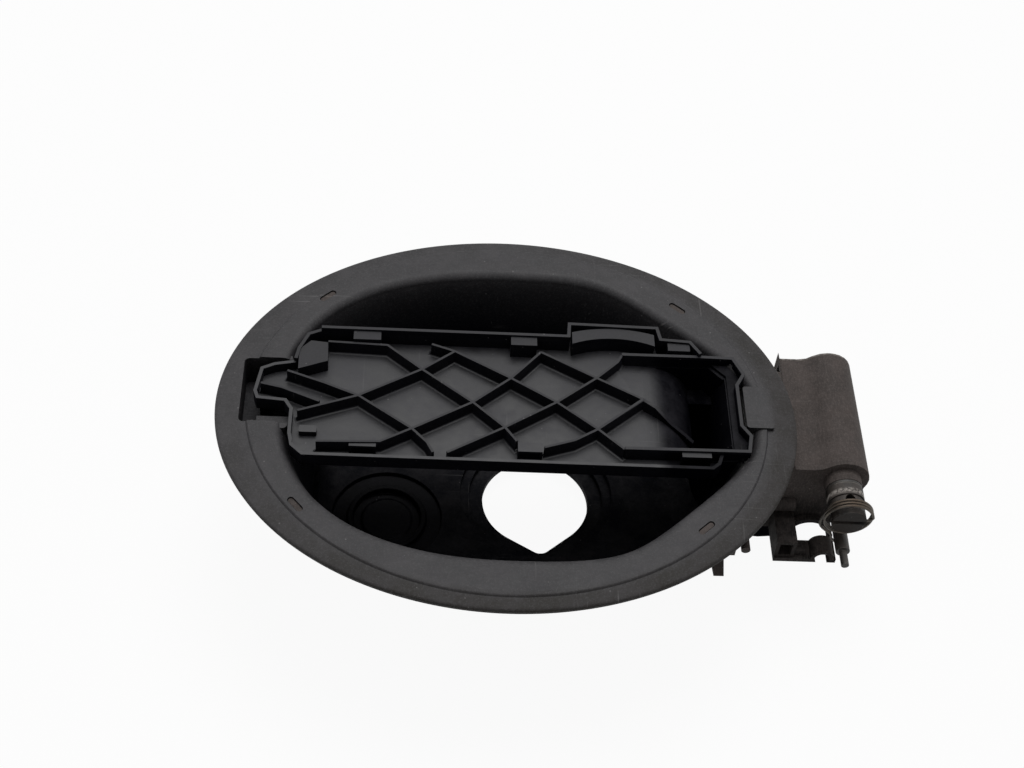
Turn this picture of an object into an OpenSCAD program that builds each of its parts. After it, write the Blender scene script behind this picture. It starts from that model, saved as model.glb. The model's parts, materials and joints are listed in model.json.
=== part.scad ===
// Fuel filler flap housing: soft pocket in a hard frame, with a hinged flap carrier shown closed.
// X runs towards the hinge, Z points out of the car through the flange, the flange face is at Z = 0.

/* [Flange] */
// Width of the flange along X
flange_w = 240; // [234:1:250]
// Depth of the flange along Y
flange_d = 193.4; // [190:0.2:200]
// Width of the raised inner land of the flange
land_w = 214; // [211:1:220]
// Offset of the flange's middle along Y
flange_y = 1.8; // [0:0.2:3]
// Depth of the raised inner land of the flange
land_d = 181; // [179:1:186]
// Thickness of the soft flange
flange_t = 3.4; // [2.6:0.1:4]
// Drop of the outer edge below the land
edge_drop = 2; // [1:0.25:3]
// Height of the small step at the edge of the land
land_step = 0.9; // [0.5:0.1:1.4]

/* [Pocket] */
// Width of the opening along X
opening_w = 194.5; // [190:0.5:198]
// Depth of the opening along Y
opening_d = 148; // [144:1:154]
// Offset of the opening's centre along X
opening_x = 4.75; // [3.5:0.25:6]
// Offset of the opening's centre along Y
opening_y = 2.5; // [1:0.5:4]
// Squareness of the opening, 2 is an ellipse
opening_power = 2.4; // [2.2:0.1:2.6]
// Distance from the origin to the flat at the lower right corner of the opening
lower_flat = 83; // [81.5:0.1:86]
// Distance from the origin to the flat at the upper right corner of the opening
upper_flat = 84.3; // [83:0.1:86]
// Depth of the pocket's floor below the flange face
pocket_depth = 70; // [66:1:74]
// Wall of the soft pocket
pocket_wall = 2.4; // [2:0.1:3]
// How far the side wall leans in by the floor
wall_draft = 13; // [11:0.25:14]
// How far the floor lies further to the far side than the opening
floor_shift = 5; // [3:0.25:6]
// Radius of the rounded lip of the opening
lip_r = 4; // [3:0.25:5]

/* [Filler neck] */
// Radius of the round part of the filler opening
filler_r = 23.7; // [21:0.1:25]
// Radius of the small round apex of the filler opening
apex_r = 5; // [3:0.5:8]
// Distance from the filler's centre to the apex circle's centre
apex_reach = 23; // [20:0.5:25]
// Radius of the bore that seats on the filler neck, behind the opening
neck_r = 31; // [29:0.5:32]
// Length of the bore that seats on the filler neck
neck_seat = 5; // [4:0.5:8]
// Outer radius of the stepped collar round the filler opening
dish_r = 34; // [33:0.5:35]
// Depth of each of the two steps down to the filler opening
dish_step = 3; // [2:0.25:4]
// Place of the filler opening along X
filler_x = 17; // [15:0.5:19]
// Place of the filler opening along Y
filler_y = 10; // [8:0.5:12]

/* [Second neck position] */
// Place of the blanked neck along X
blank_x = -49; // [-52:0.5:-47]
// Place of the blanked neck along Y
blank_y = -5; // [-7:0.5:-3]
// Radius of the recess round the blanking plug
blank_r = 24.2; // [23:0.1:25]
// Radius of the hole that the blanking plug closes
blank_hole_r = 18; // [16:0.1:19]
// Clearance between the blanking plug and the soft pocket
plug_gap = 0.3; // [0.1:0.05:0.4]

/* [Flap carrier] */
// Size of the tray along Y
tray_d = 64.6; // [60:0.2:68]
// Offset of the tray's middle along Y
tray_y = 6.1; // [5:0.1:7]
// Thickness of the tray's floor
floor_t = 2; // [1.6:0.1:2.6]
// Depth of the tray's floor below the flange face
floor_z = 3.8; // [3:0.1:4.5]
// Thickness of the tray's walls
wall_t = 1.4; // [1.2:0.1:2]
// Thickness of the lattice ribs
rib_t = 1.6; // [1.2:0.1:2.2]
// Height of the lattice ribs above the floor
rib_h = 6.4; // [5:0.1:7]
// Size of the fillet at the foot of each rib
rib_foot = 1.1; // [0.5:0.1:1.6]
// Gap between the tray and the opening at the nose side
tray_gap = 3.7; // [3:0.1:5]
// Gap between the tray's rim and the stop pad on the flange
stop_gap = 2.8; // [2.4:0.1:3.4]

/* [Hinge] */
// Place of the hinge axis along X
hinge_x = 142; // [140:0.25:144]
// Depth of the hinge axis below the flange face
hinge_z = 22; // [21:0.25:24]
// Radius of the axle's shank
axle_r = 4.5; // [4:0.1:5]
// Radial running clearance of the axle in its bushes
run_gap = 0.05; // [0.03:0.01:0.08]
// Radius of the barrel on the flap carrier
barrel_r = 8.4; // [8:0.1:9]
// Radius of the axle's head
head_r = 7.2; // [6.8:0.1:7.6]
// Outer radius of the hinge hood round the axis
hood_r = 11.4; // [11.2:0.1:12.4]
// Wall of the hinge hood
hood_t = 2.5; // [2:0.1:2.6]
// Place of the near cheek's outer face along Y
near_y = -13; // [-14:0.25:-12]
// Place of the far cheek's outer face along Y
far_y = 48; // [46:0.5:50]
// Thickness of the cheeks
cheek_t = 5; // [4:0.25:5.5]
// Depth of the cheeks' lower edge below the flange face
cheek_z = 57; // [54:1:60]

/* [Spring] */
// Wire diameter of the torsion spring
wire_d = 1.6; // [1.2:0.1:2]
// Mean radius of the spring's coils
coil_r = 10; // [9.4:0.1:10.6]
// Distance between neighbouring coils
coil_pitch = 2.6; // [2.2:0.1:3]
// Radius of the spring peg
peg_r = 3; // [2.5:0.1:3.4]

/* [Hidden] */
$fn = 64;
around = 52;
soft_black = [0.16, 0.16, 0.17];
hard_black = [0.20, 0.20, 0.22];
dusty_brown = [0.27, 0.25, 0.23];
steel = [0.62, 0.62, 0.64];
// How deep a piece is sunk into its neighbour within one moulding
sink = 0.5;
open_a = opening_w / 2;
open_b = opening_d / 2;
lower_dir = -47;
upper_dir = 50;
corner_soft = 24;

// Point on a superellipse round the opening, grown outwards by g, with both right corners flattened
function signed_pow(v, p) = sign(v) * pow(abs(v), p);
function opening_pt(t, g) =
    let (x = opening_x + (open_a + g) * signed_pow(cos(t), 2 / opening_power),
         y = opening_y + (open_b + g) * signed_pow(sin(t), 2 / opening_power),
         low = max(0, x * cos(lower_dir) + y * sin(lower_dir)) / (lower_flat + g),
         up = max(0, x * cos(upper_dir) + y * sin(upper_dir)) / (upper_flat + g),
         s = pow(1 + pow(low, corner_soft) + pow(up, corner_soft), -1 / corner_soft))
    [x * s, y * s];
function ellipse_pt(t, w, d) = [w / 2 * cos(t), flange_y + d / 2 * sin(t)];
function mix(p, q, k) = p * (1 - k) + q * k;
function at_z(p, z) = [p.x, p.y, z];
function opening_outline(g) = [for (i = [0 : around - 1]) opening_pt(i * 360 / around, g)];
function ellipse_outline(w, d) = [for (i = [0 : around - 1]) ellipse_pt(i * 360 / around, w, d)];

// Triangles of a closed surface made of equal rings, with a middle point at its first and last ring
function ring_faces(rings, n) = concat(
    [for (j = [0 : rings - 2], i = [0 : n - 1])
        [j * n + i, (j + 1) * n + i, (j + 1) * n + (i + 1) % n]],
    [for (j = [0 : rings - 2], i = [0 : n - 1])
        [j * n + i, (j + 1) * n + (i + 1) % n, j * n + (i + 1) % n]],
    [for (i = [0 : n - 1]) [rings * n, i, (i + 1) % n]],
    [for (i = [0 : n - 1]) [rings * n + 1, (rings - 1) * n + (i + 1) % n, (rings - 1) * n + i]]);

// Rings from the middle of the floor up the inside, over the lip and flange, and down the outside
floor_fillet = 12;
edge_t = 2.6;
function inner_rings() = concat(
    [[-wall_draft - floor_fillet - 6, -pocket_depth]],
    [for (a = [0 : 30 : 90])
        [-wall_draft - floor_fillet + floor_fillet * sin(a), -pocket_depth + floor_fillet * (1 - cos(a))]],
    [[-wall_draft * 0.5, -pocket_depth * 0.45]],
    [for (a = [0 : 22.5 : 90]) [lip_r * (1 - cos(a)), -lip_r * (1 - sin(a))]]);
function outer_rings() = concat(
    [[pocket_wall + 1, -flange_t], [pocket_wall, -flange_t - 4], [pocket_wall - wall_draft * 0.5, -pocket_depth * 0.45]],
    [for (a = [90 : -45 : 0])
        [pocket_wall - wall_draft - floor_fillet + floor_fillet * sin(a),
         -pocket_depth - pocket_wall + floor_fillet * (1 - cos(a))]],
    [[-wall_draft - floor_fillet - 6, -pocket_depth - pocket_wall]]);
function edge_rings() = [
    [land_w, land_d, 0], [land_w + 1.4, land_d + 1.4, -land_step], [flange_w - 2, flange_d - 2, -edge_drop + 0.5],
    [flange_w, flange_d, -edge_drop], [flange_w - 0.6, flange_d - 0.6, -edge_drop - edge_t],
    [land_w, land_d, -flange_t - 0.3]];
// Shift of the pocket's section at a depth, none above the foot of the lip
function shift(z) = [0, floor_shift * max(0, -z - lip_r) / (pocket_depth - lip_r)];
module pocket_shell() {
    ins = inner_rings();
    edges = edge_rings();
    outs = outer_rings();
    rings = len(ins) + len(edges) + len(outs);
    pts = concat(
        [for (s = ins, i = [0 : around - 1]) at_z(opening_pt(i * 360 / around, s[0]) + shift(s[1]), s[1])],
        [for (s = edges, i = [0 : around - 1]) at_z(ellipse_pt(i * 360 / around, s[0], s[1]), s[2])],
        [for (s = outs, i = [0 : around - 1]) at_z(opening_pt(i * 360 / around, s[0]) + shift(s[1]), s[1])],
        [[opening_x, opening_y + floor_shift, -pocket_depth],
         [opening_x, opening_y + floor_shift, -pocket_depth - pocket_wall]]);
    polyhedron(points = pts, faces = [for (f = ring_faces(rings, around)) [f[0], f[2], f[1]]], convexity = 10);
}

module along_y(y0, y1) {
    translate([0, y1, 0]) rotate([90, 0, 0]) linear_extrude(y1 - y0) children();
}
module along_x(x0, x1) {
    translate([x0, 0, 0]) rotate([90, 0, 90]) linear_extrude(x1 - x0) children();
}
module block(x0, x1, y0, y1, z0, z1) {
    translate([x0, y0, z0]) cube([x1 - x0, y1 - y0, z1 - z0]);
}
// Flat quadrilateral that joins two circles along their common tangents
function tangent_quad(p, rp, q, rq) =
    let (d = norm(q - p), a = atan2(q.y - p.y, q.x - p.x), b = acos((rp - rq) / d))
    [p + rp * [cos(a + b), sin(a + b)], q + rq * [cos(a + b), sin(a + b)],
     q + rq * [cos(a - b), sin(a - b)], p + rp * [cos(a - b), sin(a - b)]];

filler = [filler_x, filler_y];
apex = filler + apex_reach * [0.075, -0.997];
blank = [blank_x, blank_y];
dish_z = pocket_depth + 2 * dish_step;
filler_plate = 3;
rest_z = dish_z + filler_plate + neck_seat;
collar_wall = 3;
blank_step = 4;

module teardrop() {
    translate(filler) circle(filler_r);
    translate(apex) circle(apex_r);
    polygon(tangent_quad(filler, filler_r, apex, apex_r));
}

// Nose recess in the left of the flange
nose_x0 = opening_x - open_a + tray_gap - 15.3;
nose_y0 = 1.5;
nose_y1 = 20.5;
recess_gap = 4.2;
recess_x0 = nose_x0 - recess_gap - 1.6;
recess_x1 = opening_x - open_a;
recess_y0 = nose_y0 - 10.5;
recess_y1 = nose_y1 + recess_gap;
recess_z = 16.4;
ledge_z = 5;
recess_wall = 2.6;
lock_r = 3.4;
lock_y = 11;
lock_z = 11.4;
lock_boss = 3.4;

// Stop pad on the right of the flange, and the slot that the gooseneck passes
pad_y0 = -4.5;
pad_y1 = 17.5;
pad_x0 = 98.5;
pad_x1 = 110;
pad_h = 0.8;
slot_y0 = -7.5;
slot_y1 = 27;
slot_x0 = 83;
slot_x1 = 112;
slot_z = 66;

// Oblong holes of the flange that the frame's lugs stand in: place and direction of each
slot_l = 8.2;
slot_w = 2.8;
lug_gap = 0.3;
lug_angles = [138, 45, 216, 317.5];
function lug_place(t) = mix(opening_pt(t, lip_r), ellipse_pt(t, land_w, land_d), 0.6);
module oblong(l, w, h) {
    linear_extrude(h) {
        square([l - w, w], center = true);
        for (s = [-1, 1]) translate([s * (l - w) / 2, 0]) circle(w / 2);
    }
}
module each_lug() {
    for (t = lug_angles) {
        p = lug_place(t);
        q = lug_place(t + 2) - lug_place(t - 2);
        translate(p) rotate(atan2(q.y, q.x)) children();
    }
}

module pocket_walls() {
    pocket_shell();
    for (p = [[filler, dish_r], [blank, blank_r]]) translate(at_z(p[0], -rest_z))
        cylinder(r = p[1] + collar_wall, h = rest_z - pocket_depth - 0.2);
    block(recess_x0 - recess_wall, recess_x1 + 2.5, recess_y0 - recess_wall, recess_y1 + recess_wall,
          -recess_z - recess_wall, -1.2);
    translate([recess_x0 - recess_wall - lock_boss, lock_y, -lock_z]) rotate([0, 90, 0])
        cylinder(r = lock_r + 2.6, h = lock_boss + 1);
    block(pad_x0, pad_x1, pad_y0, pad_y1, -flange_t, pad_h);
}
module pocket_cuts() {
    block(recess_x0, recess_x1 + 9, nose_y0 - 4.2, recess_y1, -recess_z, 10);
    block(recess_x0, recess_x0 + 6.8, recess_y0, nose_y0, -recess_z, 10);
    block(recess_x0 + 6, recess_x1 + 9, recess_y0, nose_y0, -ledge_z, 10);
    each_lug() translate([0, 0, -10]) oblong(slot_l, slot_w, 20);
    block(slot_x0, slot_x1, slot_y0, slot_y1, -slot_z, -flange_t - 0.5);
    translate(at_z(filler, -pocket_depth - dish_step)) cylinder(r = dish_r, h = dish_step + 10);
    translate(at_z(filler, -dish_z)) cylinder(r = neck_r - 1, h = dish_step + 1);
    translate([0, 0, -rest_z - 1]) linear_extrude(rest_z) teardrop();
    translate(at_z(blank, -pocket_depth - blank_step)) cylinder(r = blank_r, h = 14);
    translate(at_z(blank, -rest_z - 1)) cylinder(r = blank_hole_r, h = 20);
    translate(at_z(blank, -rest_z - 1)) cylinder(r = blank_hole_r + 3, h = 5);
}
module soft_pocket() {
    color(soft_black) difference() {
        resize([flange_w, flange_d, 0]) difference() {
            pocket_walls($fn = 44);
            pocket_cuts($fn = 44);
        }
        translate(at_z(filler, -rest_z - 1)) cylinder(r = neck_r, h = neck_seat + 1);
        translate([recess_x0 - recess_wall - lock_boss - 1, lock_y, -lock_z]) rotate([0, 90, 0])
            cylinder(r = lock_r, h = recess_wall + lock_boss + 3);
    }
}

module blanking_plug() {
    seat_z = -pocket_depth - blank_step;
    color(hard_black) translate([blank.x, blank.y, 0]) rotate_extrude() polygon([
        [0, seat_z + 2.4], [10.5, seat_z + 2.4], [11.5, seat_z + 1.4], [14.5, seat_z + 1.4], [15, seat_z + 4.4],
        [17, seat_z + 4.4], [17.6, seat_z + 2.2], [blank_r - plug_gap, seat_z + 2.2], [blank_r - plug_gap, seat_z],
        [blank_hole_r - plug_gap, seat_z], [blank_hole_r - plug_gap, -rest_z + 3.9],
        [blank_hole_r + 1, -rest_z + 3], [blank_hole_r - 0.8, -rest_z + 1.6], [blank_hole_r - 2.4, -rest_z + 1.6],
        [blank_hole_r - 2.4, seat_z - 1], [0, seat_z - 1]]);
}

// Hard frame behind the flange
frame_gap = 0.4;
frame_in = pocket_wall + 1 + frame_gap;
skirt_t = 2.2;
skirt_z = 27;
plate_z = flange_t + frame_gap;
plate_t = 3;
hinge = [hinge_x, -hinge_z];
function polar(r, a) = hinge + r * [-cos(a), sin(a)];

// A place on the outside of the skirt, by angle round the opening, facing away along Y
module on_skirt(t, z) {
    translate(at_z(opening_pt(t, frame_in + skirt_t), z)) rotate(sin(t) > 0 ? 180 : 0) children();
}
module pin_stud() {
    rotate([-90, 0, 0]) translate([0, 0, -20]) cylinder(r = 1.9, h = 22);
}
module snap_hook() {
    translate([-2.1, 0, 0]) rotate([90, 0, 90]) linear_extrude(4.2)
        polygon([[3, -2.2], [-13, -2.2], [-20, 0], [-14, 3.4], [-14, 1.6], [3, 1.6]]);
}
// Side view of the hinge hood: from under the flange over a flat to the round over the axis
hood_flat_z = -15.5;
function hood_outline(s) = concat(
    [[pad_x0 + 5.5, -cheek_z], [pad_x0 + 5.5, -plate_z - 1.4 - s], [pad_x0 + 12, -plate_z - 2.4 - s],
     [pad_x0 + 20, -plate_z - 4.6 - s], [pad_x0 + 22.5, hood_flat_z - s], [hinge_x - 13, hood_flat_z - s],
     [hinge_x - 9.5, hood_flat_z + 0.7 - s]],
    [for (a = [125 : -15 : -25]) hinge + (hood_r - s) * [cos(a), sin(a)]]);
module cheek_outline() {
    polygon(concat(hood_outline(0), [[hinge_x + 9, -hinge_z - 22], [hinge_x - 2, -cheek_z]]));
}
module hood() {
    difference() {
        along_y(near_y, far_y) polygon(concat(hood_outline(0), [[hinge_x + 9, -hinge_z - 14]]));
        along_y(near_y + cheek_t, far_y - cheek_t)
            polygon(concat([[pad_x0 - 10, -cheek_z - 1], [pad_x0 - 10, -plate_z - 1.4 - hood_t]],
                           [for (i = [2 : len(hood_outline(0)) - 1]) hood_outline(hood_t)[i]],
                           [[hinge_x + 7, -hinge_z - 12], [hinge_x + 12, -cheek_z - 1]]));
        block(pad_x0, hinge_x + 20, near_y - 1, far_y + 1, -cheek_z - 1, -hinge_z - 12);
    }
}
boss_l = 5;
bush_r = 6.4;
bush_flange_t = 1.2;
arch_x = hinge_x - 8;
arch_r = 8;
arch_wall = 2.4;
arch_lip = 3;
peg_x = hinge_x + 0.5;
peg_z = -hinge_z - 16.5;
module carrier_frame() {
    color(dusty_brown) difference() {
        union() {
            difference() {
                union() {
                    translate([0, 0, -plate_z - plate_t]) linear_extrude(plate_t) intersection() {
                        polygon(ellipse_outline(land_w - 1, land_d - 1));
                        polygon(opening_outline(26));
                    }
                    translate([0, 0, -skirt_z]) linear_extrude(skirt_z - plate_z - plate_t)
                        polygon(opening_outline(frame_in + skirt_t));
                }
                translate([0, 0, -skirt_z - 1]) linear_extrude(skirt_z) polygon(opening_outline(frame_in));
                block(-130, nose_x0 + 18, recess_y0 - recess_wall - frame_gap, recess_y1 + recess_wall + frame_gap,
                      -recess_z - recess_wall - frame_gap, 0);
                block(slot_x0, pad_x0 + 6.5, slot_y0 - 1, slot_y1 + 1, -skirt_z - 1, 0);
                block(slot_x0, pad_x0 + 14, slot_y0 - 1, slot_y1 + 1, -skirt_z - 1, -plate_z - plate_t);
            }
            each_lug() translate([0, 0, -plate_z - 1]) oblong(slot_l - 2 * lug_gap, slot_w - 2 * lug_gap,
                                                               plate_z + 0.4);
            hood();
            along_y(near_y, near_y + cheek_t) cheek_outline();
            along_y(far_y - cheek_t, far_y) cheek_outline();
            along_y(near_y - boss_l, near_y + sink) translate(hinge) circle(bush_r + 1.5);
            along_y(far_y - sink, far_y + 1.5) translate(hinge) circle(bush_r + 1.5);
            along_x(pad_x0 + 8, arch_x - arch_r - 1) translate([near_y, -hinge_z - 17]) circle(3.6);
            along_y(near_y - arch_lip, near_y + 1) intersection() {
                translate([arch_x, -cheek_z]) circle(arch_r + arch_wall);
                translate([0, -cheek_z]) square([300, 40]);
            }
            on_skirt(-20, -24) pin_stud();
            on_skirt(-27, -26) translate([-2.3, -14, 0]) cube([4.6, 17, 4]);
            for (t = [-33, 60, 118, 150]) on_skirt(t, -24) snap_hook();
        }
        along_y(near_y - boss_l - 1, far_y + 3) translate(hinge) circle(bush_r);
        along_y(near_y - 4, near_y + cheek_t + 1) translate([arch_x, -cheek_z]) circle(arch_r);
        along_y(near_y - 1, near_y + cheek_t + 1) translate([peg_x, peg_z]) circle(peg_r - 0.6);
    }
}

module near_bush() {
    y0 = near_y - boss_l;
    color(hard_black) difference() {
        union() {
            along_y(y0, near_y + cheek_t) translate(hinge) circle(bush_r - 0.02);
            along_y(y0 - bush_flange_t, y0) translate(hinge) circle(bush_r + 1.3);
        }
        along_y(y0 - 3, near_y + cheek_t + 1) translate(hinge) circle(axle_r + run_gap);
    }
}
module far_bush() {
    y1 = far_y + 1.5;
    color(hard_black) difference() {
        union() {
            along_y(far_y - cheek_t, y1) translate(hinge) circle(bush_r - 0.02);
            along_y(y1, y1 + bush_flange_t) translate(hinge) circle(bush_r + 1.3);
        }
        along_y(far_y - cheek_t - 1, y1 + 3) translate(hinge) circle(axle_r + run_gap);
    }
}
peg_l = 25;
module spring_peg() {
    color(steel) {
        along_y(near_y - peg_l, near_y) translate([peg_x, peg_z]) circle(peg_r);
        along_y(near_y, near_y + cheek_t) translate([peg_x, peg_z]) circle(peg_r - 0.62);
        along_y(near_y - peg_l - 7, near_y - peg_l) translate([peg_x, peg_z]) circle(peg_r * 0.56);
    }
}

bracket_x0 = pad_x0 + 18.5;
bracket_l = 27;
bracket_d = 18;
bracket_t = 2.4;
saddle_r = 5;
module line_bracket() {
    top = -cheek_z + bracket_t;
    y0 = near_y - bracket_d;
    color(dusty_brown) difference() {
        union() {
            block(bracket_x0, bracket_x0 + bracket_l, y0, near_y, -cheek_z, top);
            block(bracket_x0, bracket_x0 + 8.6, y0 + 1, near_y, top - sink, top + 10);
            along_y(y0, y0 + 9) translate([bracket_x0 + bracket_l - saddle_r - 1, top]) circle(saddle_r);
            block(bracket_x0 + 8.6 - sink, bracket_x0 + 14, y0 + 2, y0 + 3.6, top - sink, top + 3);
        }
        block(bracket_x0 + 1.6, bracket_x0 + 7, y0 - 1, near_y - 2, top + 1.2, top + 8.4);
        block(bracket_x0 + 11.5, bracket_x0 + bracket_l - 2, y0 + 9.6, near_y - 1.4, -cheek_z - 1, top + 20);
        along_y(y0 - 1, y0 + 9.5) translate([bracket_x0 + bracket_l - saddle_r - 1, top]) circle(saddle_r - 1.6);
        block(bracket_x0, bracket_x0 + bracket_l + 10, y0 - 2, near_y, -cheek_z - 20, -cheek_z);
        along_y(near_y - arch_lip - 0.3, near_y + 1) translate([arch_x, -cheek_z]) circle(arch_r + arch_wall + 0.3);
    }
}

// Flap carrier: the tray's rim, as places with the height of the wall's top
tray_x0 = opening_x - open_a + tray_gap;
near_edge = tray_y - tray_d / 2;
far_edge = tray_y + tray_d / 2;
rim_x = pad_x0 - stop_gap;
top_far = 5;
top_rim = 3;
rib_top = rib_h - floor_z;
trough_x0 = 57;
scoop_x0 = 26;
scoop_x1 = 63.5;
scoop_d = 7;
// Rim of the tray, clockwise from the upper left corner: far wall, right rim, near edge, left wall and nose
far_rim = [[tray_x0 + 10, far_edge], [scoop_x0 - 0.5, far_edge], [scoop_x0, far_edge + scoop_d],
           [scoop_x1, far_edge + scoop_d - 0.6], [scoop_x1 + 1.2, far_edge], [rim_x - 18.5, far_edge - 0.8],
           [rim_x - 14.4, far_edge - 7.2]];
right_rim = [[tray_x0 + 136.8, far_edge - 7.4], [rim_x - 14.4, far_edge - 7.2], [rim_x - 0.5, far_edge - 7.4], [rim_x + 3.4, far_edge - 16],
             [rim_x, pad_y1 - 1.2], [rim_x, pad_y0 - 0.8], [rim_x + 3.4, pad_y0 - 6], [rim_x + 2, near_edge + 7.6],
             [rim_x - 49, near_edge + 7.2]];
near_rim = [[rim_x - 8.8, near_edge + 7.8], [rim_x - 10.6, near_edge + 2.4], [rim_x - 13.4, near_edge],
            [tray_x0 + 5.8, near_edge + 0.6], [tray_x0 + 1.3, near_edge + 4.9], [tray_x0, near_edge + 11]];
left_rim = [[tray_x0, near_edge + 11], [tray_x0, near_edge + 23.3], [tray_x0 - 2.7, nose_y0],
            [nose_x0 + 1.2, nose_y0 + 1], [nose_x0, nose_y0 + 4.4], [nose_x0 + 1.9, nose_y1 - 2.5],
            [nose_x0 + 7, nose_y1], [tray_x0 + 0.2, nose_y1 + 1.8]];
corner_rim = [[tray_x0 + 0.2, nose_y1 + 1.8], [tray_x0 + 1.3, far_edge - 10.4], [tray_x0 + 4.8, far_edge - 2.4],
              [tray_x0 + 10, far_edge]];

// Outline of a thin wall along a path, mitred at its corners
function seg_dir(p, i) = let (k = min(max(i, 0), len(p) - 2), d = p[k + 1] - p[k]) d / norm(d);
function mitre(p, i, h) =
    let (a = seg_dir(p, i - 1), b = seg_dir(p, i), n = [-a.y - b.y, a.x + b.x], m = n / norm(n))
    p[i] + m * h / max(0.5, m * [-b.y, b.x]);
module wall_run(path, z0, z1, t) {
    n = len(path);
    translate([0, 0, z0]) linear_extrude(z1 - z0) polygon(concat(
        [for (i = [0 : n - 1]) mitre(path, i, t / 2)], [for (i = [n - 1 : -1 : 0]) mitre(path, i, -t / 2)]));
}
function slice(v, a, b) = [for (i = [a : b]) v[i]];
// A path made longer at both ends
function longer(p, e) = concat([p[0] - e * seg_dir(p, 0)], slice(p, 1, len(p) - 2),
                               [p[len(p) - 1] + e * seg_dir(p, len(p) - 1)]);
// All lattice ribs at one thickness and height; a wider foot also goes round the ribs' ends
module lattice_ribs(t, h) {
    for (path = lattice) wall_run(longer(path, (t - rib_t) / 2), -floor_z - sink, h - floor_z, t);
}
// Lattice places as shares of the tray's length up to the trough, and of its depth
function lat(u, v) = [tray_x0 + u * (trough_x0 - tray_x0), near_edge + v * tray_d];
lattice = [
    [lat(0.018, 0.327), lat(0.184, 0.466), lat(0.361, 0.701), lat(0.454, 0.864)],
    [lat(0.075, 0.09), lat(0.25, 0.104), lat(0.337, 0.215), lat(0.506, 0.443), lat(0.615, 0.653), lat(0.703, 0.884)],
    [lat(0.436, 0.036), lat(0.596, 0.249), lat(0.744, 0.467), lat(0.861, 0.68), lat(0.925, 0.823), lat(0.939, 0.884)],
    [lat(0.706, 0.101), lat(0.79, 0.164), lat(0.857, 0.259), lat(0.99, 0.517)],
    [lat(-0.019, 0.651), lat(0.089, 0.559), lat(0.184, 0.466), lat(0.337, 0.215), lat(0.38, 0.11), lat(0.397, 0.033)],
    [lat(0.09, 0.909), lat(0.26, 0.895), lat(0.361, 0.701), lat(0.506, 0.443), lat(0.596, 0.249), lat(0.629, 0.141)],
    [lat(0.387, 0.918), lat(0.454, 0.864), lat(0.615, 0.653), lat(0.744, 0.467), lat(0.857, 0.259), lat(0.928, 0.107)],
    [lat(0.703, 0.884), lat(0.861, 0.68), lat(0.99, 0.517)],
    [lat(-0.09, 0.542), lat(-0.03, 0.51), lat(0.077, 0.408)]];

// Clip block that the outer skin snaps onto, with the slot that frees its undercut
module clip_block(x, y, w, d, top) {
    block(x - w / 2, x + w / 2, y - d / 2, y + d / 2, -floor_z - sink, top);
}
far_clips = [[-59.5, 11.5], [6.5, 11], [72.4, 9.4]];
near_clips = [[-59.2, 10.8], [8.3, 10], [76, 12]];
clip_d = 4.6;

// Gooseneck in side view: a bend down from the tray's floor, then an arm by angle and radius round the hinge axis
neck_in = 51.5;
neck_top = 20;
neck_t = 2.1;
bend_z = -25;
bend_r = [23, -bend_z - floor_z];
function bend(a, s) = [trough_x0 + (bend_r.x - s) * sin(a), bend_z + (bend_r.y - s) * cos(a)];
function neck_inner(s) = [for (a = [neck_top : -6 : -50]) polar(neck_in + s, a)];
function neck_outer(s) = concat([for (a = [0 : 12.5 : 87.5]) bend(a, s)],
                                [for (a = [-8 : -6 : -56]) polar(62 + s, a)]);
leg_low = [[60, -65], [57, -70], [50, -74], [40, -80], [30, -91], [20, -106], [8, -150]];
leg_high = [[7, -80], [20, -74], [30, -70.5], [40, -65.7], [46, -61.7], [50, -57]];
neck_shape = concat([[trough_x0 - 4, -floor_z - neck_t]], neck_outer(neck_t),
                    [for (p = leg_low) polar(p[0], p[1])], [for (p = leg_high) polar(p[0], p[1])],
                    [for (i = [len(neck_inner(0)) - 1 : -1 : 0]) neck_inner(0)[i]],
                    [[hinge_x - neck_in * 0.935, -floor_z + 1.4]]);
neck_cavity = concat([[trough_x0 - 4, 20], [trough_x0 - 4, -floor_z]], neck_outer(0),
                     [for (i = [len(neck_inner(0)) - 1 : -1 : 0]) neck_inner(1.8)[i]], [[rim_x - 3.2, 20]]);
trough_y0 = near_edge + 7;
trough_y1 = far_edge - 7.4;
leg_y0 = -5;
leg_y1 = 24.5;
trough_z = -20;
barrel_gap = 0.5;
// The trough is cut across at its far right corner, so that it swings past the corner of the opening
throat_y = leg_y1;
throat_x = rim_x - 4;
throat_cut = 5.5;
module trough_plan(s) {
    polygon([[trough_x0 - 10, trough_y0 + s], [hinge_x, trough_y0 + s], [hinge_x, throat_y - s], [throat_x - s, throat_y - s],
             [throat_x - throat_cut - s, trough_y1 - s], [trough_x0 - 10, trough_y1 - s]]);
}
module gooseneck() {
    intersection() {
        along_y(trough_y0 - 1, trough_y1 + 1) polygon(neck_shape);
        translate([0, 0, trough_z]) linear_extrude(30) trough_plan(-wall_t / 2);
    }
    along_y(leg_y0, leg_y1) polygon(neck_shape);
    along_y(near_y + cheek_t + barrel_gap, far_y - cheek_t - barrel_gap) translate(hinge) circle(barrel_r);
}
module gooseneck_cavity() {
    intersection() {
        along_y(trough_y0, trough_y1) polygon(neck_cavity);
        translate([0, 0, trough_z + 2]) linear_extrude(50) trough_plan(wall_t / 2);
    }
    along_y(leg_y0 + 2, leg_y1 - 2) polygon(neck_cavity);
}
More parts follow.
